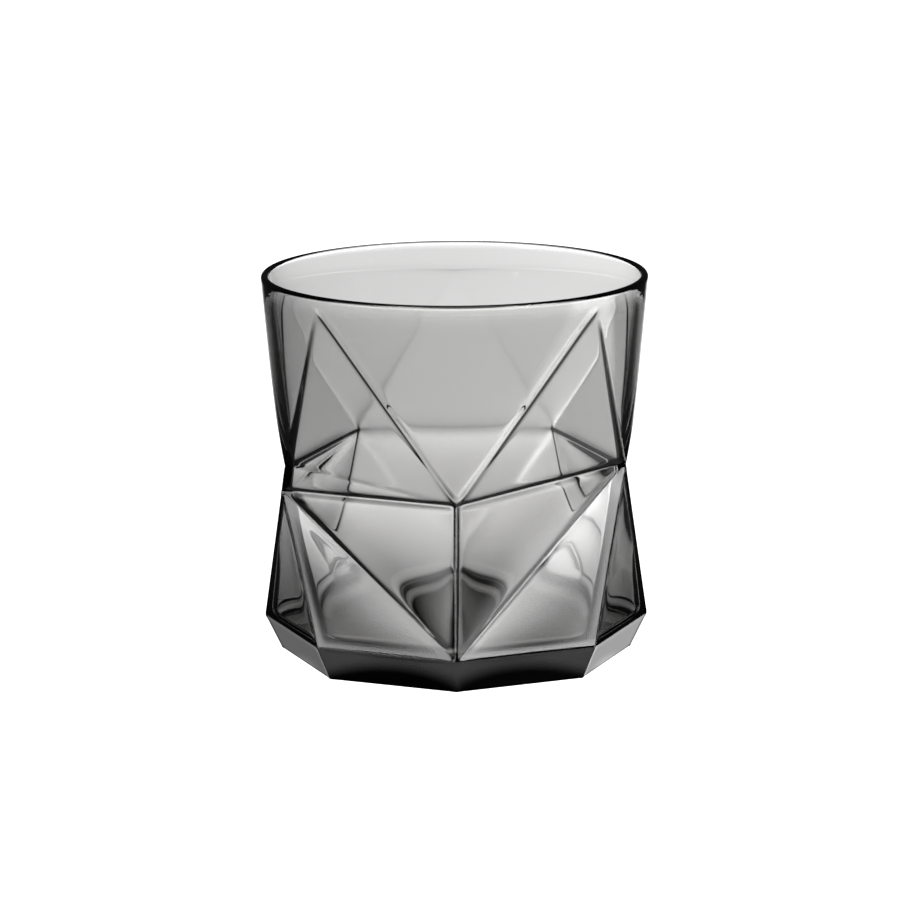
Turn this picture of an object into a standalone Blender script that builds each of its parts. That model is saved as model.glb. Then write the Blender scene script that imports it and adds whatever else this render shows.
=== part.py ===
"""Whisky tumbler: one piece of smoke-grey glass, modelled in metres with +Z up.

The origin is the centre of the face that the glass stands on.  The body changes section three
times on its way up: an eight-sided chamfered foot, a waist with five corners, and a round rim.
Flat triangles join the foot to the waist and the waist to the rim.  The cavity follows the same
facets one wall thickness further in, over a thick base.

Azimuths are in degrees, 0 at the front (-Y) and growing towards the right (+X).
"""
import bmesh
import bpy
from math import cos, pi, radians, sin
from mathutils import Vector

MM = 0.001

# ---- driving dimensions -------------------------------------------------------------------
HEIGHT = 90.0 * MM
RIM_RADIUS = 45.0 * MM
LIP_RADIUS = 0.9 * MM
BASE_THICKNESS = 8.0 * MM

FOOT_SIDES = 8
FOOT_RADIUS = 41.0 * MM
CHAMFER_RADIUS = 45.0 * MM
CHAMFER_HEIGHT = 8.25 * MM

WAIST_RADIUS = 41.45 * MM
WALL_AT_SHOULDER = 2.0 * MM
WALL_AT_WAIST = 2.6 * MM
WALL_AT_FOOT = 3.2 * MM
CAVITY_WAIST_RAISE = 0.9 * MM   # how much higher the waist sits inside than outside

DISH_RADIUS = 30.0 * MM
DISH_DEPTH = 0.3 * MM

# Waist corners: azimuth, height.  The left corner is a short upright edge, from the corner
# itself down to the heel, where the waist lines on both sides of it end.
WAIST_CORNERS = {
    "front": (0.4, 43.4 * MM),
    "right": (72.0, 47.0 * MM),
    "back_right": (144.0, 45.6 * MM),
    "back_left": (-144.0, 45.6 * MM),
    "left": (-72.0, 47.0 * MM),
}
LEFT_HEEL_DROP = 0.166          # share of the way from the left corner to the foot below it
LEFT_FOOT = "foot_6"

# Tops of the five tall facets: azimuth, drop below the rim.
APEXES = {
    "apex_front_right": (46.4, 2.5 * MM),
    "apex_back_right": (105.0, 4.5 * MM),
    "apex_back": (180.0, 7.0 * MM),
    "apex_back_left": (-105.0, 4.5 * MM),
    "apex_front_left": (-44.6, 2.4 * MM),
}
SHOULDER_FLARE = 0.25 * MM      # how far the facet tops lie inside the rim radius

# Fullness of the two creases below each top: 0 leaves a straight chord, 1 makes an arc.
CREASE_LIFT = {
    "apex_front_right": 0.0,
    "apex_back_right": 0.85,
    "apex_back": 0.2,
    "apex_back_left": 0.85,
    "apex_front_left": 0.0,
}
CORNER_BULGE = -1.0 * MM        # the strip above each waist corner is slightly hollow

EDGE_STEPS = 8                  # pieces along every edge of a facet
LIP_STEPS = 6
FILLET_STEPS = 5
FILLET_RISE = 2.4 * MM          # cavity corner: height of the round above the floor
FILLET_RUN = 2.4 * MM           # and its reach towards the axis
DISH_STEPS = 4

WELD_DISTANCE = 0.002 * MM
FLAT_ANGLE = radians(0.05)      # faces closer to coplanar than this become one
SHARP_ANGLE = radians(12.0)     # edges that turn more than this stay crisp in shading

GLASS_COLOUR = (0.62, 0.62, 0.63, 1.0)
GLASS_ROUGHNESS = 0.02
GLASS_IOR = 1.52


def polar(azimuth, radius, height):
    """A point at an azimuth in degrees, a radius from the axis and a height."""
    angle = radians(azimuth)
    return Vector((radius * sin(angle), -radius * cos(angle), height))


def outward(point):
    """Unit vector pointing straight away from the axis at a point."""
    return Vector((point.x, point.y, 0.0)).normalized()


# ---- the corners that both skins share ----------------------------------------------------

def foot_name(index):
    """Name of a foot corner; index 0 is at the front and the count runs to the right."""
    return "foot_%d" % (index % FOOT_SIDES)


def skin_corners(waist_inset, foot_inset, shoulder_inset, waist_raise, foot_height):
    """Every named corner of a skin that lies the given distances inside the outer one."""
    corners = {}
    for name, (azimuth, height) in WAIST_CORNERS.items():
        corners[name] = polar(azimuth, WAIST_RADIUS - waist_inset, height + waist_raise)
    for name, (azimuth, drop) in APEXES.items():
        radius = RIM_RADIUS - SHOULDER_FLARE - shoulder_inset
        corners[name] = polar(azimuth, radius, HEIGHT - drop)
    for index in range(FOOT_SIDES):
        azimuth = 360.0 * index / FOOT_SIDES
        corners[foot_name(index)] = polar(azimuth, CHAMFER_RADIUS - foot_inset, foot_height)
    corners["left_heel"] = corners["left"].lerp(corners[LEFT_FOOT], LEFT_HEEL_DROP)
    return corners


# Flat facets between the waist and the foot, each by its three corners.
LOWER_FACETS = (
    ("front", "right", "foot_0"),
    ("foot_0", "foot_1", "right"),
    ("foot_1", "foot_2", "right"),
    ("right", "back_right", "foot_2"),
    ("foot_2", "foot_3", "back_right"),
    ("foot_3", "foot_4", "back_right"),
    ("back_right", "back_left", "foot_4"),
    ("foot_4", "foot_5", "back_left"),
    ("back_left", "left_heel", "foot_5"),
    ("foot_5", "foot_6", "left_heel"),
    ("foot_6", "foot_7", "left_heel"),
    ("foot_7", "foot_0", "left_heel"),
    ("left_heel", "front", "foot_0"),
    # the two slivers beside the upright edge at the left corner
    ("left_heel", "left", "front"),
    ("back_left", "left", "left_heel"),
)

# Tall facets above the waist: the two waist corners of the lower side, then the top.
TALL_FACETS = (
    ("front", "right", "apex_front_right"),
    ("right", "back_right", "apex_back_right"),
    ("back_right", "back_left", "apex_back"),
    ("back_left", "left", "apex_back_left"),
    ("left", "front", "apex_front_left"),
)

# Rounded strips that rise from one waist corner to the rim between two facet tops.
ROUND_STRIPS = (
    ("front", "apex_front_left", "apex_front_right"),
    ("right", "apex_front_right", "apex_back_right"),
    ("back_right", "apex_back_right", "apex_back"),
    ("back_left", "apex_back", "apex_back_left"),
    ("left", "apex_back_left", "apex_front_left"),
)


# ---- facets -------------------------------------------------------------------------------

def turn_between(start, end):
    """Degrees from one azimuth to the next, the short way round."""
    return (end - start + 180.0) % 360.0 - 180.0


def crease_lift(corners, corner_name, apex_name):
    """How far the middle of a crease stands outside its straight chord."""
    corner = corners[corner_name]
    apex = corners[apex_name]
    turn = turn_between(WAIST_CORNERS[corner_name][0], APEXES[apex_name][0])
    mean_radius = 0.5 * (corner.xy.length + apex.xy.length)
    return CREASE_LIFT[apex_name] * mean_radius * (1.0 - cos(radians(0.5 * turn)))


def add_triangle_grid(mesh, place):
    """Fill a three-cornered patch; place(a, b, c) maps weights that sum to 1 to a point."""
    rows = []
    for row in range(EDGE_STEPS + 1):
        points = []
        for column in range(row + 1):
            weight_a = 1.0 - row / EDGE_STEPS
            weight_c = column / EDGE_STEPS
            weight_b = 1.0 - weight_a - weight_c
            points.append(mesh.verts.new(place(weight_a, weight_b, weight_c)))
        rows.append(points)
    for upper, lower in zip(rows, rows[1:]):
        for column in range(len(upper)):
            mesh.faces.new((upper[column], lower[column], lower[column + 1]))
        for column in range(len(upper) - 1):
            mesh.faces.new((upper[column], lower[column + 1], upper[column + 1]))


def add_flat_facet(mesh, corners, names):
    """A flat triangle."""
    first, second, third = (corners[name] for name in names)
    add_triangle_grid(mesh, lambda a, b, c: a * first + b * second + c * third)


def add_tall_facet(mesh, corners, names):
    """A tall facet: straight along the waist, its two rising creases slightly full."""
    left, right, apex = (corners[name] for name in names)
    lift_left = crease_lift(corners, names[0], names[2])
    lift_right = crease_lift(corners, names[1], names[2])

    def place(a, b, c):
        point = a * apex + b * left + c * right
        lift = 4.0 * a * (b * lift_left + c * lift_right)
        return point + lift * outward(point)

    add_triangle_grid(mesh, place)


def shoulder_point(corners, from_apex, to_apex, share):
    """A point on the curve that runs through the tops of the tall facets."""
    start_azimuth = APEXES[from_apex][0]
    turn = turn_between(start_azimuth, APEXES[to_apex][0])
    start = corners[from_apex]
    end = corners[to_apex]
    height = start.z + share * (end.z - start.z)
    return polar(start_azimuth + share * turn, start.xy.length, height)


def add_round_strip(mesh, corners, names):
    """The strip above a waist corner: a point below, an arc of the shoulder above."""
    corner = corners[names[0]]
    lift_start = crease_lift(corners, names[0], names[1])
    lift_end = crease_lift(corners, names[0], names[2])

    def place(a, b, c):
        rise = 1.0 - a
        share = c / rise if rise > 0.0 else 0.0
        top = shoulder_point(corners, names[1], names[2], share)
        point = a * corner + rise * top
        lift = (1.0 - share) ** 2 * lift_start + share ** 2 * lift_end
        lift += 2.0 * share * (1.0 - share) * CORNER_BULGE
        return point + 4.0 * a * rise * lift * outward(point)

    add_triangle_grid(mesh, place)


def add_skin(mesh, corners):
    """Every facet between the foot and the shoulder."""
    for names in LOWER_FACETS:
        add_flat_facet(mesh, corners, names)
    for names in TALL_FACETS:
        add_tall_facet(mesh, corners, names)
    for names in ROUND_STRIPS:
        add_round_strip(mesh, corners, names)


# ---- rings: rim, foot, floor --------------------------------------------------------------

def shoulder_ring(corners):
    """The closed curve through the facet tops, in steps that match the round strips."""
    ring = []
    for _, from_apex, to_apex in ROUND_STRIPS:
        for step in range(EDGE_STEPS):
            ring.append(shoulder_point(corners, from_apex, to_apex, step / EDGE_STEPS))
    return ring


def foot_ring(corners):
    """The closed outline through the foot corners of a skin."""
    ring = []
    for index in range(FOOT_SIDES):
        start = corners[foot_name(index)]
        end = corners[foot_name(index + 1)]
        for step in range(EDGE_STEPS):
            ring.append(start.lerp(end, step / EDGE_STEPS))
    return ring


def moved_ring(ring, radius, height):
    """The points of a ring at their own azimuths, on a circle."""
    return [outward(point) * radius + Vector((0.0, 0.0, height)) for point in ring]


def scaled_ring(ring, scale, height):
    """A ring scaled about the axis and laid at a height."""
    return [Vector((point.x * scale, point.y * scale, height)) for point in ring]


def add_ring_stack(mesh, rings, close_end):
    """Quads between neighbouring rings, and a face over the last one if it is closed."""
    layers = [[mesh.verts.new(point) for point in ring] for ring in rings]
    count = len(rings[0])
    for below, above in zip(layers, layers[1:]):
        for index in range(count):
            after = (index + 1) % count
            mesh.faces.new((below[index], below[after], above[after], above[index]))
    if close_end:
        mesh.faces.new(layers[-1])


def add_rim(mesh, outer, inner):
    """From the outer shoulder over the rounded lip to the inner shoulder."""
    outer_ring = shoulder_ring(outer)
    centre_radius = RIM_RADIUS - LIP_RADIUS
    centre_height = HEIGHT - LIP_RADIUS
    rings = [outer_ring]
    for step in range(LIP_STEPS + 1):
        angle = pi * step / LIP_STEPS
        radius = centre_radius + LIP_RADIUS * cos(angle)
        height = centre_height + LIP_RADIUS * sin(angle)
        rings.append(moved_ring(outer_ring, radius, height))
    rings.append(shoulder_ring(inner))
    add_ring_stack(mesh, rings, close_end=False)


def add_foot(mesh, outer):
    """The chamfer, the flat ring that the glass stands on, and the shallow dish inside it."""
    chamfer = foot_ring(outer)
    ground = scaled_ring(chamfer, FOOT_RADIUS / CHAMFER_RADIUS, 0.0)
    rings = [chamfer, ground]
    for step in range(DISH_STEPS):
        angle = 0.5 * pi * step / DISH_STEPS
        rings.append(moved_ring(chamfer, DISH_RADIUS * cos(angle), DISH_DEPTH * sin(angle) ** 2))
    add_ring_stack(mesh, rings, close_end=True)


def add_cavity_floor(mesh, inner):
    """The round between the cavity wall and its floor, and the floor."""
    wall = foot_ring(inner)
    corner_radius = wall[0].xy.length
    rings = [wall]
    for step in range(1, FILLET_STEPS + 1):
        angle = 0.5 * pi * step / FILLET_STEPS
        scale = 1.0 - (1.0 - cos(angle)) * FILLET_RUN / corner_radius
        rings.append(scaled_ring(wall, scale, wall[0].z - FILLET_RISE * sin(angle)))
    add_ring_stack(mesh, rings, close_end=True)


# ---- the object ---------------------------------------------------------------------------

def smoke_glass():
    """Clear glass with a neutral grey tint."""
    material = bpy.data.materials.new("smoke_glass")
    material.use_nodes = True
    shader = material.node_tree.nodes["Principled BSDF"]
    shader.inputs["Base Color"].default_value = GLASS_COLOUR
    shader.inputs["Roughness"].default_value = GLASS_ROUGHNESS
    shader.inputs["Metallic"].default_value = 0.0
    shader.inputs["IOR"].default_value = GLASS_IOR
    shader.inputs["Transmission Weight"].default_value = 1.0
    return material


def build_body():
    """The whole glass as one closed surface."""
    outer = skin_corners(0.0, 0.0, 0.0, 0.0, CHAMFER_HEIGHT)
    inner = skin_corners(
        WALL_AT_WAIST, WALL_AT_FOOT, WALL_AT_SHOULDER, CAVITY_WAIST_RAISE,
        BASE_THICKNESS + FILLET_RISE)
    mesh = bmesh.new()
    add_skin(mesh, outer)
    add_skin(mesh, inner)
    add_rim(mesh, outer, inner)
    add_foot(mesh, outer)
    add_cavity_floor(mesh, inner)
    bmesh.ops.remove_doubles(mesh, verts=mesh.verts, dist=WELD_DISTANCE)
    bmesh.ops.dissolve_limit(
        mesh, angle_limit=FLAT_ANGLE, verts=mesh.verts, edges=mesh.edges)
    bmesh.ops.triangulate(mesh, faces=mesh.faces)
    bmesh.ops.recalc_face_normals(mesh, faces=mesh.faces)
    data = bpy.data.meshes.new("tumbler_body")
    mesh.to_mesh(data)
    mesh.free()
    return data


def main():
    for existing in list(bpy.data.objects):
        bpy.data.objects.remove(existing)
    collection = bpy.data.collections.new("whisky_tumbler")
    bpy.context.scene.collection.children.link(collection)
    body = bpy.data.objects.new("tumbler_body", build_body())
    body.data.materials.append(smoke_glass())
    body.data.shade_smooth()
    body.data.set_sharp_from_angle(angle=SHARP_ANGLE)
    collection.objects.link(body)


main()
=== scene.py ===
"""Looks of the whisky tumbler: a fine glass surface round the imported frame, on a pale floor.

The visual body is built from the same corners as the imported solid, and its height and rim come
from that solid's box.  Then every facet edge is rounded the way moulded and fire-polished glass
is.  Azimuths are in degrees, 0 at the front (-Y) and growing towards the right (+X).
"""
from math import atan2, cos, pi, radians, sin

import bmesh
import bpy
import numpy as np
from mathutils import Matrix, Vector
from mathutils.bvhtree import BVHTree


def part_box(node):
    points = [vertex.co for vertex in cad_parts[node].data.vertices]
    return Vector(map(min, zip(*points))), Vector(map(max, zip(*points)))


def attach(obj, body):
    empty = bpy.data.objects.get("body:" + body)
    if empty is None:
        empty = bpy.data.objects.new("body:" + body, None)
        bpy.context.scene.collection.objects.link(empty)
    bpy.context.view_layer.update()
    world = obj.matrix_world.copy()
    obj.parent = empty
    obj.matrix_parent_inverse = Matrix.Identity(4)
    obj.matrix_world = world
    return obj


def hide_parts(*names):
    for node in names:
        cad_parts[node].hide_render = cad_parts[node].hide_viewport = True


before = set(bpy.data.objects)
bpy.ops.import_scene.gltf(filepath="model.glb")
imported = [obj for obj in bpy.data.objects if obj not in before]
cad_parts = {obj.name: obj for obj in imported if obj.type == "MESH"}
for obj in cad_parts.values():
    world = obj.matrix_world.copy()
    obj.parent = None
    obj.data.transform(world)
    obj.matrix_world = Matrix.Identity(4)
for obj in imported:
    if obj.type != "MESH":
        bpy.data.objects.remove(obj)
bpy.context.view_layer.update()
BODY_LOW, BODY_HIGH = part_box("tumbler_body")

# ---- shape ----------------------------------------------------------------------------------

MM = 0.001
HEIGHT = BODY_HIGH[2] - BODY_LOW[2]
RIM_RADIUS = 0.5 * (BODY_HIGH[0] - BODY_LOW[0])

LIP_RADIUS = 0.9 * MM
LIP_CENTRE_RADIUS = RIM_RADIUS - LIP_RADIUS
LIP_CENTRE_HEIGHT = HEIGHT - LIP_RADIUS
BASE_THICKNESS = 8.0 * MM
FILLET_RISE = 2.4 * MM          # cavity corner: height of the round above the floor
FILLET_RUN = 2.4 * MM           # and its reach towards the axis
FOOT_SIDES = 8
FOOT_RADIUS = 41.0 * MM
FOOT_ROUND = 0.6 * MM           # radius of the edge that touches the table
CHAMFER_RADIUS = RIM_RADIUS
CHAMFER_HEIGHT = 8.25 * MM
DISH_RADIUS = 30.0 * MM
DISH_DEPTH = 0.3 * MM
WAIST_RADIUS = 41.45 * MM
WALL_AT_SHOULDER = 2.0 * MM
WALL_AT_WAIST = 2.6 * MM
WALL_AT_FOOT = 3.2 * MM
CAVITY_WAIST_RAISE = 0.9 * MM   # how much higher the waist sits inside than outside

# waist corners: azimuth and height
WAIST_CORNERS = {
    "front": (0.4, 43.4 * MM),
    "right": (72.0, 47.0 * MM),
    "back_right": (144.0, 45.6 * MM),
    "back_left": (-144.0, 45.6 * MM),
    "left": (-72.0, 47.0 * MM),
}
LEFT_HEEL_DROP = 0.166          # share of the way from the left corner to the foot below it
LEFT_FOOT = "foot_6"
# tops of the tall facets: azimuth and distance below the rim
APEXES = {
    "apex_front_right": (46.4, 2.5 * MM),
    "apex_back_right": (105.0, 4.5 * MM),
    "apex_back": (180.0, 7.0 * MM),
    "apex_back_left": (-105.0, 4.5 * MM),
    "apex_front_left": (-44.6, 2.4 * MM),
}
SHOULDER_FLARE = 0.25 * MM      # how far the facet tops lie inside the rim radius
# fullness of the two creases below each apex: 0 leaves a straight chord, 1 makes an arc
CREASE_LIFT = {
    "apex_front_right": 0.0,
    "apex_back_right": 0.85,
    "apex_back": 0.2,
    "apex_back_left": 0.85,
    "apex_front_left": 0.0,
}
CORNER_BULGE = -1.0 * MM        # the strip above each waist corner is slightly hollow
FACET_CROWN = 0.015             # rise of a lower facet's middle as a share of its height

LOWER_FACETS = (
    ("front", "right", "foot_0"),
    ("foot_0", "foot_1", "right"),
    ("foot_1", "foot_2", "right"),
    ("right", "back_right", "foot_2"),
    ("foot_2", "foot_3", "back_right"),
    ("foot_3", "foot_4", "back_right"),
    ("back_right", "back_left", "foot_4"),
    ("foot_4", "foot_5", "back_left"),
    ("back_left", "left_heel", "foot_5"),
    ("foot_5", "foot_6", "left_heel"),
    ("foot_6", "foot_7", "left_heel"),
    ("foot_7", "foot_0", "left_heel"),
    ("left_heel", "front", "foot_0"),
    ("left_heel", "left", "front"),
    ("back_left", "left", "left_heel"),
)
TALL_FACETS = (
    ("front", "right", "apex_front_right"),
    ("right", "back_right", "apex_back_right"),
    ("back_right", "back_left", "apex_back"),
    ("back_left", "left", "apex_back_left"),
    ("left", "front", "apex_front_left"),
)
ROUND_STRIPS = (
    ("front", "apex_front_left", "apex_front_right"),
    ("right", "apex_front_right", "apex_back_right"),
    ("back_right", "apex_back_right", "apex_back"),
    ("back_left", "apex_back", "apex_back_left"),
    ("left", "apex_back_left", "apex_front_left"),
)

EDGE_STEPS = 44                 # pieces along every edge of a facet
EDGE_CROWDING = 1.5             # above 1, points crowd towards the facet edges
RIM_BAND_SHARES = (0.0, 0.2, 0.4, 0.6, 0.8, 1.0)
LIP_STEPS = 16
FOOT_ROUND_STEPS = 5
DISH_STEPS = 14
FILLET_STEPS = 14
CAVITY_FLOOR_STEPS = 6
TRIANGLE_PEAK = 27.0            # scales a * b * c to 1 in the middle of a triangle
EDGE_PEAK = 4.0                 # scales a * b to 1 in the middle of an edge
WELD_DISTANCE = 0.001 * MM
SEAM_WELD_DISTANCE = 0.02 * MM  # between the skins, the lip and the underside

# ---- rounding of the edges ------------------------------------------------------------------

# standard deviations of the smoothing; fades are pairs of heights or azimuths
OUTER_ROUNDING = 0.25 * MM
INNER_ROUNDING = 0.3 * MM
SHOULDER_ROUNDING = 1.5 * MM
SHOULDER_FADE = (HEIGHT - 9.0 * MM, HEIGHT - 4.0 * MM)
# the outer edges stand slightly proud, and the hollow ones slightly deep
EDGE_RELIEF = 1.0
EDGE_RELIEF_WIDTH = 0.7 * MM
# low in the cavity the edges are much rounder, where the glass is thick
LOWER_ROUNDING = 2.2 * MM
LOWER_FADE = (30.0 * MM, 16.0 * MM)
# the edges at the back are softer, and the level one between the two back corners still more
BACK_ROUNDING = 0.5 * MM
BACK_FADE = (120.0, 145.0)
BACK_LINE_ROUNDING = 1.1 * MM
BACK_LINE_LOW_FADE = (40.0 * MM, 43.0 * MM)
BACK_LINE_HIGH_FADE = (51.0 * MM, 48.0 * MM)
BACK_LINE_FADE = (143.5, 148.5)
# creases round the front: the two ridges carry a bead, the waist lines a groove, and the two
# lines down to the foot a groove half as deep
BEAD_HEIGHT = 0.36 * MM
BEAD_WIDTH = 0.55 * MM
GROOVE_HEIGHT = -0.33 * MM
GROOVE_WIDTH = 0.55 * MM
LINED_CREASES = (
    ("front", "apex_front_left", BEAD_HEIGHT, BEAD_WIDTH),
    ("front", "apex_front_right", BEAD_HEIGHT, BEAD_WIDTH),
    ("front", "left_heel", GROOVE_HEIGHT, GROOVE_WIDTH),
    ("front", "right", GROOVE_HEIGHT, GROOVE_WIDTH),
    ("left_heel", "foot_0", 0.5 * GROOVE_HEIGHT, GROOVE_WIDTH),
    ("right", "foot_0", 0.5 * GROOVE_HEIGHT, GROOVE_WIDTH),
)
LINE_END_FADE = 0.06            # share of a crease over which its bead or groove runs out
FIELD_STEP_DEGREES = 0.125
FIELD_STEP_HEIGHT = 0.1 * MM
FIELD_END_INSET = 0.001 * MM    # rays at both ends of the field stay just inside the skin
KERNEL_REACH = 4.0              # deviations at which the smoothing stops

# ---- glass, light, floor and camera ---------------------------------------------------------

GLASS_IOR = 1.5
ABSORPTION_PER_METRE = 200.0
ABSORPTION_COLOUR = (0.014, 0.008, 0.0, 1.0)
MANY_BOUNCES = 32
FEW_BOUNCES = 16

CAMERA_DISTANCE = 1.045
CAMERA_ELEVATION = 12.27
CAMERA_ROLL = -0.275
CAMERA_LENS = 178.3
CAMERA_SENSOR = 36.0
CAMERA_SHIFT = (-0.0060, 0.0124)

# The light is a bright table top ahead of the camera and dark elsewhere.  Its limits are the
# sines of angles below the horizon, and sideways reach over downward reach.
TABLE_LIGHT = 2.25
TABLE_FAR_EDGE = (0.05, 0.32)
TABLE_SIDE_EDGE = (1.8, 0.6)
TABLE_NEAR_EDGE = (0.7, 0.35)
TABLE_NEAR_SHADE = 0.85         # share of the light that is missing at the near edge
TABLE_AHEAD = (-0.1, 0.2)
TABLE_SLOPE = 0.5               # how much brighter the right end of the table is
TABLE_SLOPE_REACH = 0.3
LEAST_DOWN = 0.001
FRONT_LIGHT = 0.02              # what comes from everywhere else
BACK_LIGHT = 1.5                # what the camera sees past the glass
BEFORE_GLASS = 0.5              # a ray's transmission depth is below this until it enters glass
# softboxes beside and behind the camera, seen only in reflections off the outside: centre in
# camera space, degrees from the centre to the dark and to the full part, strength
SOFTBOXES = (
    ((-0.858, 0.031, -0.513), 24.0, 10.0, 4.2),
    ((0.970, -0.229, 0.085), 23.0, 12.0, 4.0),
    ((-0.43, 0.615, -0.66), 22.0, 8.0, 7.0),
    ((0.61, 0.50, -0.62), 21.0, 8.0, 10.5),
)

FLOOR_REACH = 3.0               # half of the floor's side
FLOOR_GAP = 0.1 * MM
# distances from the axis at which the floor's light changes, from the first to the second
# painted light under the glass, and painted shade in a ring round the foot, both in the floor's
# glow
UNDER_LIGHT = 1.4
UNDER_REACH = (40.0 * MM, 34.0 * MM)
RING_SHADE = 0.42
RING_REACH = (50.0 * MM, 120.0 * MM)
# a patch of painted light on the floor in front of the foot, which the chamfers mirror
FRONT_FLOOR_LIGHT = 0.9
FRONT_FLOOR_TURN = (0.30, 0.0)
FRONT_FLOOR_START = (41.0 * MM, 45.5 * MM)
FRONT_FLOOR_END = (90.0 * MM, 60.0 * MM)


# ---- corners and facets ---------------------------------------------------------------------

def polar(azimuth, radius, height):
    """A point at an azimuth in degrees, a radius from the axis and a height."""
    angle = radians(azimuth)
    return Vector((radius * sin(angle), -radius * cos(angle), height))


def outward(point):
    """Unit vector pointing straight away from the axis at a point."""
    return Vector((point.x, point.y, 0.0)).normalized()


def foot_name(index):
    return "foot_%d" % (index % FOOT_SIDES)


def skin_corners(waist_inset, foot_inset, shoulder_inset, waist_raise):
    """Every named corner of a skin that lies the given distances inside the outer one."""
    corners = {}
    for name, (azimuth, height) in WAIST_CORNERS.items():
        corners[name] = polar(azimuth, WAIST_RADIUS - waist_inset, height + waist_raise)
    for name, (azimuth, drop) in APEXES.items():
        radius = RIM_RADIUS - SHOULDER_FLARE - shoulder_inset
        corners[name] = polar(azimuth, radius, HEIGHT - drop)
    for index in range(FOOT_SIDES):
        azimuth = 360.0 * index / FOOT_SIDES
        corners[foot_name(index)] = polar(azimuth, CHAMFER_RADIUS - foot_inset, CHAMFER_HEIGHT)
    corners["left_heel"] = corners["left"].lerp(corners[LEFT_FOOT], LEFT_HEEL_DROP)
    return corners


def crowded(step):
    """Weight of a step along an edge; the power crowds the points towards the corners."""
    return (step / EDGE_STEPS) ** EDGE_CROWDING


def edge_shares():
    """Places from 0 to 1 along an edge, crowded towards both ends."""
    shares = []
    for step in range(EDGE_STEPS + 1):
        here = crowded(step)
        shares.append(here / (here + crowded(EDGE_STEPS - step)))
    return shares


EDGE_SHARES = edge_shares()


def turn_between(start, end):
    """The shorter way from one azimuth to another, in degrees."""
    return (end - start + 180.0) % 360.0 - 180.0


def crease_lift(corners, corner_name, apex_name):
    """How far the middle of a crease stands outside its straight chord."""
    turn = turn_between(WAIST_CORNERS[corner_name][0], APEXES[apex_name][0])
    mean_radius = 0.5 * (corners[corner_name].xy.length + corners[apex_name].xy.length)
    return CREASE_LIFT[apex_name] * mean_radius * (1.0 - cos(radians(0.5 * turn)))


def add_triangle_grid(mesh, place):
    """Fill a three-cornered patch; place(a, b, c) maps weights that sum to 1 to a point."""
    rows = []
    for row in range(EDGE_STEPS + 1):
        points = []
        for column in range(row + 1):
            weights = (crowded(EDGE_STEPS - row), crowded(row - column), crowded(column))
            total = sum(weights)
            points.append(mesh.verts.new(place(*(weight / total for weight in weights))))
        rows.append(points)
    for upper, lower in zip(rows, rows[1:]):
        for column in range(len(upper)):
            mesh.faces.new((upper[column], lower[column], lower[column + 1]))
        for column in range(len(upper) - 1):
            mesh.faces.new((upper[column], lower[column + 1], upper[column + 1]))


def add_lower_facet(mesh, corners, names, crown_share):
    """A lower facet, raised in the middle by a share of its smallest height."""
    first, second, third = (corners[name] for name in names)
    cross = (second - first).cross(third - first)
    longest = max((second - first).length, (third - second).length, (first - third).length)
    crown = crown_share * cross.length / longest
    normal = cross.normalized()
    if normal.dot(outward(first + second + third)) < 0.0:
        normal = -normal

    def place(a, b, c):
        point = a * first + b * second + c * third
        return point + TRIANGLE_PEAK * a * b * c * crown * normal

    add_triangle_grid(mesh, place)


def add_tall_facet(mesh, corners, names):
    """A tall facet: straight along the waist, its two rising creases slightly full."""
    left, right, apex = (corners[name] for name in names)
    lift_left = crease_lift(corners, names[0], names[2])
    lift_right = crease_lift(corners, names[1], names[2])

    def place(a, b, c):
        point = a * apex + b * left + c * right
        return point + EDGE_PEAK * a * (b * lift_left + c * lift_right) * outward(point)

    add_triangle_grid(mesh, place)


def shoulder_point(corners, from_apex, to_apex, share):
    """A point on the curve that runs through the tops of the tall facets."""
    start_azimuth = APEXES[from_apex][0]
    turn = turn_between(start_azimuth, APEXES[to_apex][0])
    start = corners[from_apex]
    height = start.z + share * (corners[to_apex].z - start.z)
    return polar(start_azimuth + share * turn, start.xy.length, height)


def add_round_strip(mesh, corners, names):
    """The strip above a waist corner: a point below, an arc of the shoulder above."""
    corner = corners[names[0]]
    lift_start = crease_lift(corners, names[0], names[1])
    lift_end = crease_lift(corners, names[0], names[2])

    def place(a, b, c):
        rise = 1.0 - a
        share = c / (b + c) if b + c > 0.0 else 0.0
        point = a * corner + rise * shoulder_point(corners, names[1], names[2], share)
        lift = (1.0 - share) ** 2 * lift_start + share ** 2 * lift_end
        lift += 2.0 * share * (1.0 - share) * CORNER_BULGE
        return point + EDGE_PEAK * a * rise * lift * outward(point)

    add_triangle_grid(mesh, place)


# ---- rings ----------------------------------------------------------------------------------

def shoulder_ring(corners):
    """Points all round the curve that runs through the tops of the tall facets."""
    ring = []
    for _, from_apex, to_apex in ROUND_STRIPS:
        for share in EDGE_SHARES[:-1]:
            ring.append(shoulder_point(corners, from_apex, to_apex, share))
    return ring


def foot_ring(corners):
    """Points all round the eight-sided edge above the chamfer."""
    ring = []
    for index in range(FOOT_SIDES):
        start = corners[foot_name(index)]
        end = corners[foot_name(index + 1)]
        for share in EDGE_SHARES[:-1]:
            ring.append(start.lerp(end, share))
    return ring


def circle_ring(ring, radius, height):
    """The points of a ring at their own azimuths, on a circle."""
    return [outward(point) * radius + Vector((0.0, 0.0, height)) for point in ring]


def scaled_ring(ring, scale, height):
    return [Vector((point.x * scale, point.y * scale, height)) for point in ring]


def blend_rings(first, second, shares):
    return [[a.lerp(b, share) for a, b in zip(first, second)] for share in shares]


def join_layers(mesh, layers, close_end):
    """Quads between neighbouring rings, and a fan over the last one if it is closed."""
    count = len(layers[0])
    for below, above in zip(layers, layers[1:]):
        for index in range(count):
            after = (index + 1) % count
            mesh.faces.new((below[index], below[after], above[after], above[index]))
    if close_end:
        last = layers[-1]
        centre = mesh.verts.new((0.0, 0.0, last[0].co.z))
        for index in range(count):
            mesh.faces.new((last[index], last[(index + 1) % count], centre))


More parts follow.
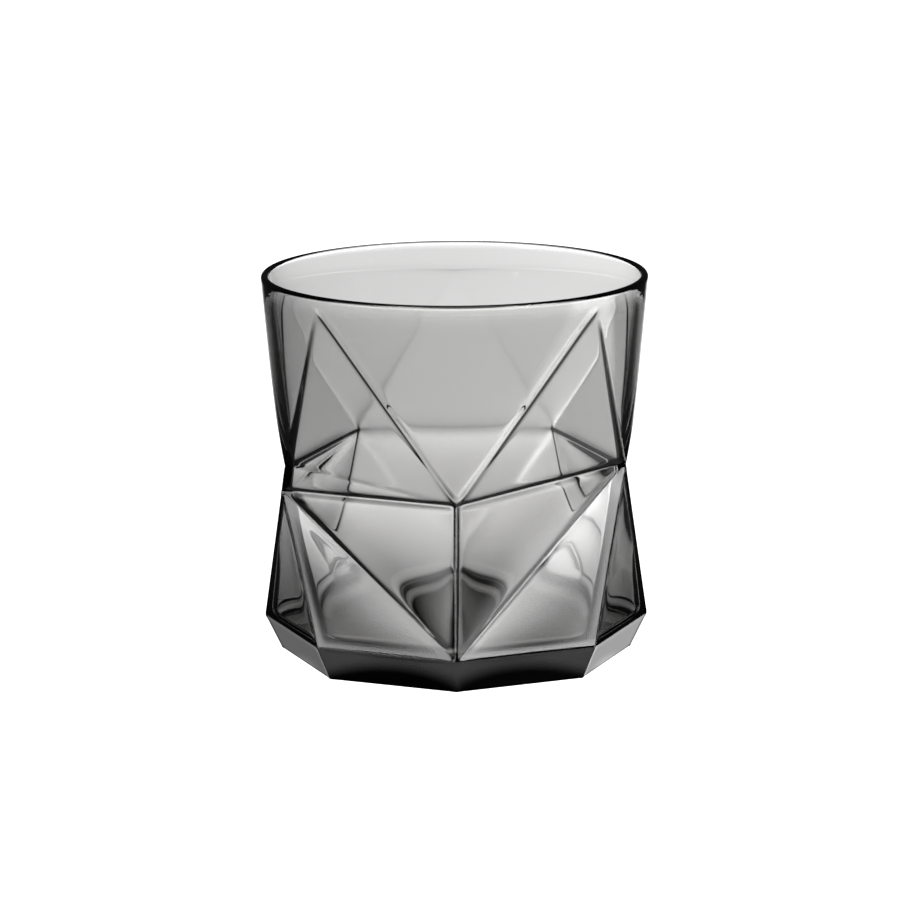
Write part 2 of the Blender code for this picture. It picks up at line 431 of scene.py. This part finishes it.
def add_ring_stack(mesh, rings, close_end):
    layers = [[mesh.verts.new(point) for point in ring] for ring in rings]
    join_layers(mesh, layers, close_end)


# ---- rounding: the skin as a field of radius over azimuth and height ------------------------

def eased(values, limits):
    """0 at the first limit, 1 at the second, smooth in between."""
    share = np.clip((values - limits[0]) / (limits[1] - limits[0]), 0.0, 1.0)
    return share * share * (3.0 - 2.0 * share)


class RadiusField:
    """Radius of a skin over azimuth and height, smoothed so that its edges are rounded."""

    def __init__(self, mesh, low, high, rounding, edge_relief, lower_rounding):
        self.low = low
        self.columns = int(round(360.0 / FIELD_STEP_DEGREES))
        self.rows = int(round((high - low) / FIELD_STEP_HEIGHT)) + 1
        self.row_step = (high - low) / (self.rows - 1)
        self.heights = (low + self.row_step * np.arange(self.rows))[:, None]
        self.azimuths = FIELD_STEP_DEGREES * np.arange(self.columns)[None, :]
        sharp = self.cast(mesh)
        self.values = self.blur(sharp, rounding)
        if edge_relief > 0.0:
            self.values += edge_relief * (self.values - self.blur(sharp, EDGE_RELIEF_WIDTH))
        behind = 180.0 - np.abs(self.azimuths - 180.0)
        back_line = (eased(self.heights, BACK_LINE_LOW_FADE)
                     * eased(self.heights, BACK_LINE_HIGH_FADE)
                     * eased(behind, BACK_LINE_FADE))
        self.soften(sharp, SHOULDER_ROUNDING, eased(self.heights, SHOULDER_FADE))
        self.soften(sharp, BACK_ROUNDING, eased(behind, BACK_FADE))
        self.soften(sharp, BACK_LINE_ROUNDING, back_line)
        if lower_rounding > 0.0:
            self.soften(sharp, lower_rounding, eased(self.heights, LOWER_FADE))

    def cast(self, mesh):
        """Radius of the sharp skin, read by rays from the axis."""
        tree = BVHTree.FromBMesh(mesh)
        values = np.empty((self.rows, self.columns))
        directions = [polar(azimuth, 1.0, 0.0) for azimuth in self.azimuths[0]]
        heights = self.heights[:, 0].copy()
        heights[0] += FIELD_END_INSET
        heights[-1] -= FIELD_END_INSET
        for row, height in enumerate(heights):
            origin = Vector((0.0, 0.0, height))
            for column, direction in enumerate(directions):
                hit = tree.ray_cast(origin, direction)
                values[row, column] = hit[3] if hit[0] is not None else np.nan
        rows, columns = np.nonzero(np.isnan(values))
        values[rows, columns] = values[rows, (columns + 1) % self.columns]
        return values

    def blur(self, values, deviation):
        """Gaussian smoothing, round the axis and up and down."""
        column_step = radians(FIELD_STEP_DEGREES) * float(values.mean())
        frequency = np.fft.rfftfreq(self.columns, column_step)
        spread = np.exp(-2.0 * (pi * deviation * frequency) ** 2)
        smooth = np.fft.irfft(np.fft.rfft(values, axis=1) * spread, self.columns, axis=1)
        reach = int(KERNEL_REACH * deviation / self.row_step) + 1
        offsets = np.arange(-reach, reach + 1) * self.row_step
        kernel = np.exp(-0.5 * (offsets / deviation) ** 2)
        kernel /= kernel.sum()
        # the skin goes on in a straight line past both ends, so the ends stay where they are
        below = 2.0 * smooth[:1] - smooth[reach:0:-1]
        above = 2.0 * smooth[-1:] - smooth[-2:-reach - 2:-1]
        padded = np.vstack((below, smooth, above))
        result = np.zeros_like(smooth)
        for index, weight in enumerate(kernel):
            result += weight * padded[index:index + self.rows]
        return result

    def soften(self, sharp, deviation, share):
        """Move a share of the way towards a wider smoothing."""
        self.values += share * (self.blur(sharp, deviation) - self.values)

    def add_line(self, start, end, height, width):
        """Raise a bead, or sink a groove, along the straight crease between two corners."""
        run = (end.xy - start.xy).length
        rise = end.z - start.z
        length = np.hypot(run, rise)
        if abs(rise) > run:
            # a steep crease crosses every row once
            share = (self.heights - start.z) / rise
            inside = np.clip(share, 0.0, 1.0)
            x = start.x + inside * (end.x - start.x)
            y = start.y + inside * (end.y - start.y)
            turn = np.radians(turn_between(np.degrees(np.arctan2(x, -y)), self.azimuths))
            across = turn * np.hypot(x, y) * abs(rise) / length
        else:
            # a flat one crosses every column on its own side of the axis once
            ahead_x = np.sin(np.radians(self.azimuths))
            ahead_y = -np.cos(np.radians(self.azimuths))
            facing = ahead_x * start.x + ahead_y * start.y > 0.0
            along = (end.x - start.x) * ahead_y - (end.y - start.y) * ahead_x
            share = np.where(facing, (start.y * ahead_x - start.x * ahead_y) / along, -1.0)
            across = (self.heights - start.z - share * rise) * run / length
        fade = np.clip(share / LINE_END_FADE, 0.0, 1.0)
        fade = fade * np.clip((1.0 - share) / LINE_END_FADE, 0.0, 1.0)
        fade = fade * fade * (3.0 - 2.0 * fade)
        self.values += height * fade * np.exp(-0.5 * (across / width) ** 2)

    def cubic(self, values, fraction):
        """Catmull-Rom interpolation between the middle two of four values."""
        a, b, c, d = values
        return b + 0.5 * fraction * (
            c - a + fraction * (2.0 * a - 5.0 * b + 4.0 * c - d
                                + fraction * (3.0 * (b - c) + d - a)))

    def radius(self, azimuth, height):
        """Radius at arrays of azimuths and heights."""
        u = np.mod(azimuth, 360.0) / FIELD_STEP_DEGREES
        v = np.clip((height - self.low) / self.row_step, 0.0, self.rows - 1.0)
        column = np.floor(u).astype(int)
        row = np.minimum(np.floor(v).astype(int), self.rows - 2)
        across = []
        for row_offset in (-1, 0, 1, 2):
            rows = np.clip(row + row_offset, 0, self.rows - 1)
            taps = [self.values[rows, (column + o) % self.columns] for o in (-1, 0, 1, 2)]
            across.append(self.cubic(taps, u - column))
        return self.cubic(across, v - row)

    def project(self, points):
        """Points moved out or in to the smoothed skin, never past the rim's radius."""
        places = np.array(points)
        azimuth = np.degrees(np.arctan2(places[:, 0], -places[:, 1]))
        radius = np.minimum(self.radius(azimuth, places[:, 2]), RIM_RADIUS)
        places[:, :2] *= (radius / np.hypot(places[:, 0], places[:, 1]))[:, None]
        return places


def round_skin(mesh, field):
    """Move every point of a skin to its smoothed surface."""
    places = field.project([vertex.co for vertex in mesh.verts])
    for vertex, place in zip(mesh.verts, places):
        vertex.co = place


# ---- the glass ------------------------------------------------------------------------------

def chamfer_corner_radius(height):
    """Corner radius of the chamfer at a height."""
    share = height / CHAMFER_HEIGHT
    return FOOT_RADIUS + share * (CHAMFER_RADIUS - FOOT_RADIUS)


def add_skin(mesh, corners, rim_radius, crown_share):
    """The facets of a skin and the band from them up to the lip."""
    for names in LOWER_FACETS:
        add_lower_facet(mesh, corners, names, crown_share)
    for names in TALL_FACETS:
        add_tall_facet(mesh, corners, names)
    for names in ROUND_STRIPS:
        add_round_strip(mesh, corners, names)
    shoulder = shoulder_ring(corners)
    rim = circle_ring(shoulder, rim_radius, LIP_CENTRE_HEIGHT)
    add_ring_stack(mesh, blend_rings(shoulder, rim, RIM_BAND_SHARES), False)


def add_chamfer(mesh, corners):
    """The chamfer, from the foot's widest edge down to the rounded edge at the table."""
    foot = foot_ring(corners)
    scale = chamfer_corner_radius(FOOT_ROUND) / foot[0].xy.length
    ground = scaled_ring(foot, scale, FOOT_ROUND)
    add_ring_stack(mesh, blend_rings(foot, ground, EDGE_SHARES[::2]), False)


def add_lip(mesh, corners):
    """The fire-polished rim: half a circle from the outer to the inner skin."""
    shoulder = shoulder_ring(corners)
    rings = []
    for step in range(LIP_STEPS + 1):
        angle = pi * step / LIP_STEPS
        rings.append(circle_ring(
            shoulder,
            LIP_CENTRE_RADIUS + LIP_RADIUS * cos(angle),
            LIP_CENTRE_HEIGHT + LIP_RADIUS * sin(angle)))
    add_ring_stack(mesh, rings, False)


def add_underside(mesh, field, corners):
    """The rounded edge at the table, the flat ring and the shallow dish."""
    outline = foot_ring(corners)
    scale = chamfer_corner_radius(FOOT_ROUND) / outline[0].xy.length
    start = [Vector(place) for place in field.project(scaled_ring(outline, scale, FOOT_ROUND))]
    rings = []
    for step in range(FOOT_ROUND_STEPS + 1):
        angle = 0.5 * pi * step / FOOT_ROUND_STEPS
        inset = FOOT_ROUND * (1.0 - cos(angle))
        height = FOOT_ROUND * (1.0 - sin(angle))
        rings.append(scaled_ring(start, 1.0 - inset / FOOT_RADIUS, height))
    for step in range(DISH_STEPS):
        angle = 0.5 * pi * step / DISH_STEPS
        rings.append(circle_ring(
            outline, DISH_RADIUS * cos(angle), DISH_DEPTH * sin(angle) ** 2))
    add_ring_stack(mesh, rings, True)


def cut_off_below(mesh, height):
    """Remove everything below a height and return the new lower edge, in azimuth order."""
    geometry = list(mesh.verts) + list(mesh.edges) + list(mesh.faces)
    cut = bmesh.ops.bisect_plane(
        mesh, geom=geometry, dist=WELD_DISTANCE, plane_co=(0.0, 0.0, height),
        plane_no=(0.0, 0.0, -1.0), clear_outer=True)
    edge = [item for item in cut["geom_cut"] if isinstance(item, bmesh.types.BMVert)]
    return sorted(edge, key=lambda vertex: atan2(vertex.co.x, -vertex.co.y))


def add_cavity_floor(mesh):
    """The round between the cavity wall and its floor, and the floor."""
    edge = cut_off_below(mesh, BASE_THICKNESS + FILLET_RISE)
    wall = [vertex.co.copy() for vertex in edge]
    reach = max(point.xy.length for point in wall)
    steps = []
    for step in range(1, FILLET_STEPS + 1):
        angle = 0.5 * pi * step / FILLET_STEPS
        steps.append((1.0 - (1.0 - cos(angle)) * FILLET_RUN / reach,
                      wall[0].z - FILLET_RISE * sin(angle)))
    floor_scale, floor_height = steps[-1]
    for step in range(1, CAVITY_FLOOR_STEPS):
        steps.append((floor_scale * (1.0 - step / CAVITY_FLOOR_STEPS), floor_height))
    layers = [edge]
    for scale, height in steps:
        layers.append([mesh.verts.new(point) for point in scaled_ring(wall, scale, height)])
    join_layers(mesh, layers, True)


def build_outer(corners):
    """The outer skin with its lip and underside."""
    mesh = bmesh.new()
    add_skin(mesh, corners, RIM_RADIUS, FACET_CROWN)
    add_chamfer(mesh, corners)
    bmesh.ops.remove_doubles(mesh, verts=mesh.verts, dist=WELD_DISTANCE)
    field = RadiusField(
        mesh, FOOT_ROUND, LIP_CENTRE_HEIGHT, OUTER_ROUNDING, EDGE_RELIEF, 0.0)
    for start, end, height, width in LINED_CREASES:
        field.add_line(corners[start], corners[end], height, width)
    round_skin(mesh, field)
    add_lip(mesh, corners)
    add_underside(mesh, field, corners)
    return mesh


def build_inner(corners):
    """The cavity: the inner skin and its floor."""
    mesh = bmesh.new()
    add_skin(mesh, corners, RIM_RADIUS - 2.0 * LIP_RADIUS, 0.0)
    bmesh.ops.remove_doubles(mesh, verts=mesh.verts, dist=WELD_DISTANCE)
    field = RadiusField(
        mesh, CHAMFER_HEIGHT, LIP_CENTRE_HEIGHT, INNER_ROUNDING, 0.0, LOWER_ROUNDING)
    round_skin(mesh, field)
    add_cavity_floor(mesh)
    return mesh


def build_glass():
    """The whole glass as one closed fine mesh."""
    outer = build_outer(skin_corners(0.0, 0.0, 0.0, 0.0))
    inner = build_inner(skin_corners(
        WALL_AT_WAIST, WALL_AT_FOOT, WALL_AT_SHOULDER, CAVITY_WAIST_RAISE))
    data = bpy.data.meshes.new("glass_body")
    inner.to_mesh(data)
    outer.from_mesh(data)
    inner.free()
    bmesh.ops.remove_doubles(outer, verts=outer.verts, dist=SEAM_WELD_DISTANCE)
    bmesh.ops.recalc_face_normals(outer, faces=outer.faces)
    outer.to_mesh(data)
    outer.free()
    data.shade_smooth()
    return data


def smoke_glass():
    """Polished glass whose grey comes from its thickness."""
    material = bpy.data.materials.new("smoke_glass_fine")
    material.use_nodes = True
    nodes = material.node_tree.nodes
    shader = nodes["Principled BSDF"]
    shader.inputs["Base Color"].default_value = (1.0, 1.0, 1.0, 1.0)
    shader.inputs["Roughness"].default_value = 0.0
    shader.inputs["IOR"].default_value = GLASS_IOR
    shader.inputs["Transmission Weight"].default_value = 1.0
    absorption = nodes.new("ShaderNodeVolumeAbsorption")
    absorption.inputs["Color"].default_value = ABSORPTION_COLOUR
    absorption.inputs["Density"].default_value = ABSORPTION_PER_METRE
    material.node_tree.links.new(
        absorption.outputs["Volume"], nodes["Material Output"].inputs["Volume"])
    return material


# ---- light ----------------------------------------------------------------------------------

class ShaderMaths:
    """Arithmetic on the sockets of one node tree."""

    def __init__(self, tree):
        self.nodes = tree.nodes
        self.links = tree.links

    def feed(self, socket, value):
        """Set a socket to a number, or link it to another socket."""
        if isinstance(value, float):
            socket.default_value = value
        else:
            self.links.new(value, socket)

    def maths(self, operation, first, second):
        node = self.nodes.new("ShaderNodeMath")
        node.operation = operation
        self.feed(node.inputs[0], first)
        self.feed(node.inputs[1], second)
        return node.outputs["Value"]

    def plus(self, first, second):
        return self.maths("ADD", first, second)

    def times(self, first, second):
        return self.maths("MULTIPLY", first, second)

    def ramp(self, value, limits, shape="SMOOTHSTEP"):
        """0 at the first limit, 1 at the second."""
        node = self.nodes.new("ShaderNodeMapRange")
        node.interpolation_type = shape
        falling = limits[0] > limits[1]
        node.inputs["From Min"].default_value = min(limits)
        node.inputs["From Max"].default_value = max(limits)
        node.inputs["To Min"].default_value = 1.0 if falling else 0.0
        node.inputs["To Max"].default_value = 0.0 if falling else 1.0
        self.links.new(value, node.inputs["Value"])
        return node.outputs["Result"]

    def split(self, vector):
        node = self.nodes.new("ShaderNodeSeparateXYZ")
        self.links.new(vector, node.inputs["Vector"])
        return node.outputs

    def length(self, vector):
        node = self.nodes.new("ShaderNodeVectorMath")
        node.operation = "LENGTH"
        self.links.new(vector, node.inputs[0])
        return node.outputs["Value"]

    def along(self, vector, axis):
        """Cosine of the angle between a direction and an axis."""
        node = self.nodes.new("ShaderNodeVectorMath")
        node.operation = "DOT_PRODUCT"
        self.links.new(vector, node.inputs[0])
        node.inputs[1].default_value = Vector(axis).normalized()
        return node.outputs["Value"]

    def ray(self, output):
        """What kind of ray is being shaded, or how often it has passed through glass."""
        return self.nodes.new("ShaderNodeLightPath").outputs[output]


def table_light(tree, direction):
    """The bright table top, which is level when the camera looks down at CAMERA_ELEVATION.

    Its far edge and side edges draw the dark lines along the edges of the facets.
    """
    side, rise, ahead = tree.split(direction)
    tilt = radians(CAMERA_ELEVATION)
    down = tree.maths("SUBTRACT", tree.times(ahead, sin(tilt)), tree.times(rise, cos(tilt)))
    spread = tree.maths(
        "DIVIDE", tree.maths("ABSOLUTE", side, 0.0), tree.maths("MAXIMUM", down, LEAST_DOWN))
    near = tree.times(tree.ramp(down, TABLE_NEAR_EDGE), TABLE_NEAR_SHADE)
    slope = tree.ramp(side, (-TABLE_SLOPE_REACH, TABLE_SLOPE_REACH), "LINEAR")
    light = tree.times(tree.ramp(down, TABLE_FAR_EDGE, "LINEAR"), TABLE_LIGHT)
    light = tree.times(light, tree.ramp(spread, TABLE_SIDE_EDGE))
    light = tree.times(light, tree.ramp(ahead, TABLE_AHEAD))
    light = tree.times(light, tree.plus(near, 1.0 - TABLE_NEAR_SHADE))
    return tree.times(
        light, tree.plus(tree.times(slope, 2.0 * TABLE_SLOPE), 1.0 - TABLE_SLOPE))


def softbox_light(tree, direction):
    """The softboxes, for rays that have not been through the glass."""
    light = 0.0
    for centre, dark, full, strength in SOFTBOXES:
        limits = (cos(radians(dark)), cos(radians(full)))
        glow = tree.ramp(tree.along(direction, centre), limits)
        light = tree.plus(light, tree.times(glow, strength))
    outside = tree.maths("LESS_THAN", tree.ray("Transmission Depth"), BEFORE_GLASS)
    return tree.times(light, outside)


def studio_light(tree, direction):
    """Light arriving from a direction in camera space."""
    light = tree.plus(table_light(tree, direction), softbox_light(tree, direction))
    seen = tree.times(tree.ray("Is Camera Ray"), BACK_LIGHT)
    return tree.maths("MAXIMUM", tree.plus(light, FRONT_LIGHT), seen)


def studio_world():
    """Soft light that belongs to the camera: bright beyond the glass, dark behind the lens."""
    world = bpy.data.worlds.new("studio")
    bpy.context.scene.world = world
    world.use_nodes = True
    tree = ShaderMaths(world.node_tree)
    background = tree.nodes["Background"]
    coordinates = tree.nodes.new("ShaderNodeTexCoord")
    light = studio_light(tree, coordinates.outputs["Camera"])
    tree.feed(background.inputs["Strength"], light)
    background.inputs["Color"].default_value = (1.0, 1.0, 1.0, 1.0)


# ---- floor and camera -----------------------------------------------------------------------

def camera_direction(tree, geometry):
    """The way a ray travels, in camera space."""
    flip = tree.nodes.new("ShaderNodeVectorMath")
    flip.operation = "SCALE"
    flip.inputs["Scale"].default_value = -1.0
    turn = tree.nodes.new("ShaderNodeVectorTransform")
    turn.vector_type = "VECTOR"
    turn.convert_from = "WORLD"
    turn.convert_to = "CAMERA"
    tree.links.new(geometry.outputs["Incoming"], flip.inputs[0])
    tree.links.new(flip.outputs["Vector"], turn.inputs["Vector"])
    return turn.outputs["Vector"]


def floor_light(tree, geometry):
    """Evenly lit for the camera; for other rays, painted shade a little darker near the glass, a
    painted glow under it and the painted patch of light that the chamfers mirror.
    """
    direction = camera_direction(tree, geometry)
    reach = tree.length(geometry.outputs["Position"])
    under = tree.times(tree.ramp(reach, UNDER_REACH), UNDER_LIGHT - RING_SHADE)
    around = tree.times(tree.ramp(reach, RING_REACH), 1.0 - RING_SHADE)
    shade = tree.plus(tree.plus(under, around), RING_SHADE)
    shade = tree.maths("MAXIMUM", shade, tree.ray("Is Camera Ray"))
    front = tree.times(tree.ramp(reach, FRONT_FLOOR_START), tree.ramp(reach, FRONT_FLOOR_END))
    front = tree.times(front, tree.ramp(tree.split(direction)["Z"], FRONT_FLOOR_TURN))
    return tree.plus(tree.times(shade, studio_light(tree, direction)),
                     tree.times(front, FRONT_FLOOR_LIGHT))


def floor_material():
    """A floor, plain white to the camera, that glows from above with painted light and shade
    near the glass, and is clear from below.
    """
    material = bpy.data.materials.new("floor")
    material.use_nodes = True
    tree = ShaderMaths(material.node_tree)
    tree.nodes.remove(tree.nodes["Principled BSDF"])
    glow = tree.nodes.new("ShaderNodeEmission")
    clear = tree.nodes.new("ShaderNodeBsdfTransparent")
    geometry = tree.nodes.new("ShaderNodeNewGeometry")
    mix = tree.nodes.new("ShaderNodeMixShader")
    tree.feed(glow.inputs["Strength"], floor_light(tree, geometry))
    tree.links.new(geometry.outputs["Backfacing"], mix.inputs["Fac"])
    tree.links.new(glow.outputs["Emission"], mix.inputs[1])
    tree.links.new(clear.outputs["BSDF"], mix.inputs[2])
    tree.links.new(mix.outputs["Shader"], tree.nodes["Material Output"].inputs["Surface"])
    return material


def stage_floor():
    mesh = bmesh.new()
    bmesh.ops.create_grid(mesh, x_segments=1, y_segments=1, size=FLOOR_REACH)
    data = bpy.data.meshes.new("floor")
    mesh.to_mesh(data)
    mesh.free()
    data.materials.append(floor_material())
    floor = bpy.data.objects.new("floor", data)
    bpy.context.scene.collection.objects.link(floor)
    floor.location.z = BODY_LOW[2] - FLOOR_GAP


def photo_camera():
    """The camera at the viewing angle of the reference."""
    data = bpy.data.cameras.new("camera")
    data.lens = CAMERA_LENS
    data.sensor_width = CAMERA_SENSOR
    data.shift_x, data.shift_y = CAMERA_SHIFT
    camera = bpy.data.objects.new("camera", data)
    bpy.context.scene.collection.objects.link(camera)
    target = Vector((0.0, 0.0, 0.5 * HEIGHT))
    elevation = radians(CAMERA_ELEVATION)
    back = Vector((0.0, -cos(elevation), sin(elevation)))
    camera.location = target + back * CAMERA_DISTANCE
    camera.rotation_euler = (-back).to_track_quat("-Z", "Y").to_euler()
    camera.rotation_euler.rotate_axis("Z", radians(CAMERA_ROLL))
    bpy.context.scene.camera = camera


def path_settings():
    """Plain colours, and enough bounces for light to cross the glass several times."""
    scene = bpy.context.scene
    scene.view_settings.view_transform = "Standard"
    scene.cycles.max_bounces = MANY_BOUNCES
    scene.cycles.transmission_bounces = MANY_BOUNCES
    scene.cycles.glossy_bounces = FEW_BOUNCES
    scene.cycles.transparent_max_bounces = FEW_BOUNCES


def main():
    body = bpy.data.objects.new("glass_body", build_glass())
    bpy.context.scene.collection.objects.link(body)
    body.data.materials.append(smoke_glass())
    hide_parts("tumbler_body")
    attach(body, "root")
    stage_floor()
    studio_world()
    photo_camera()
    path_settings()


main()
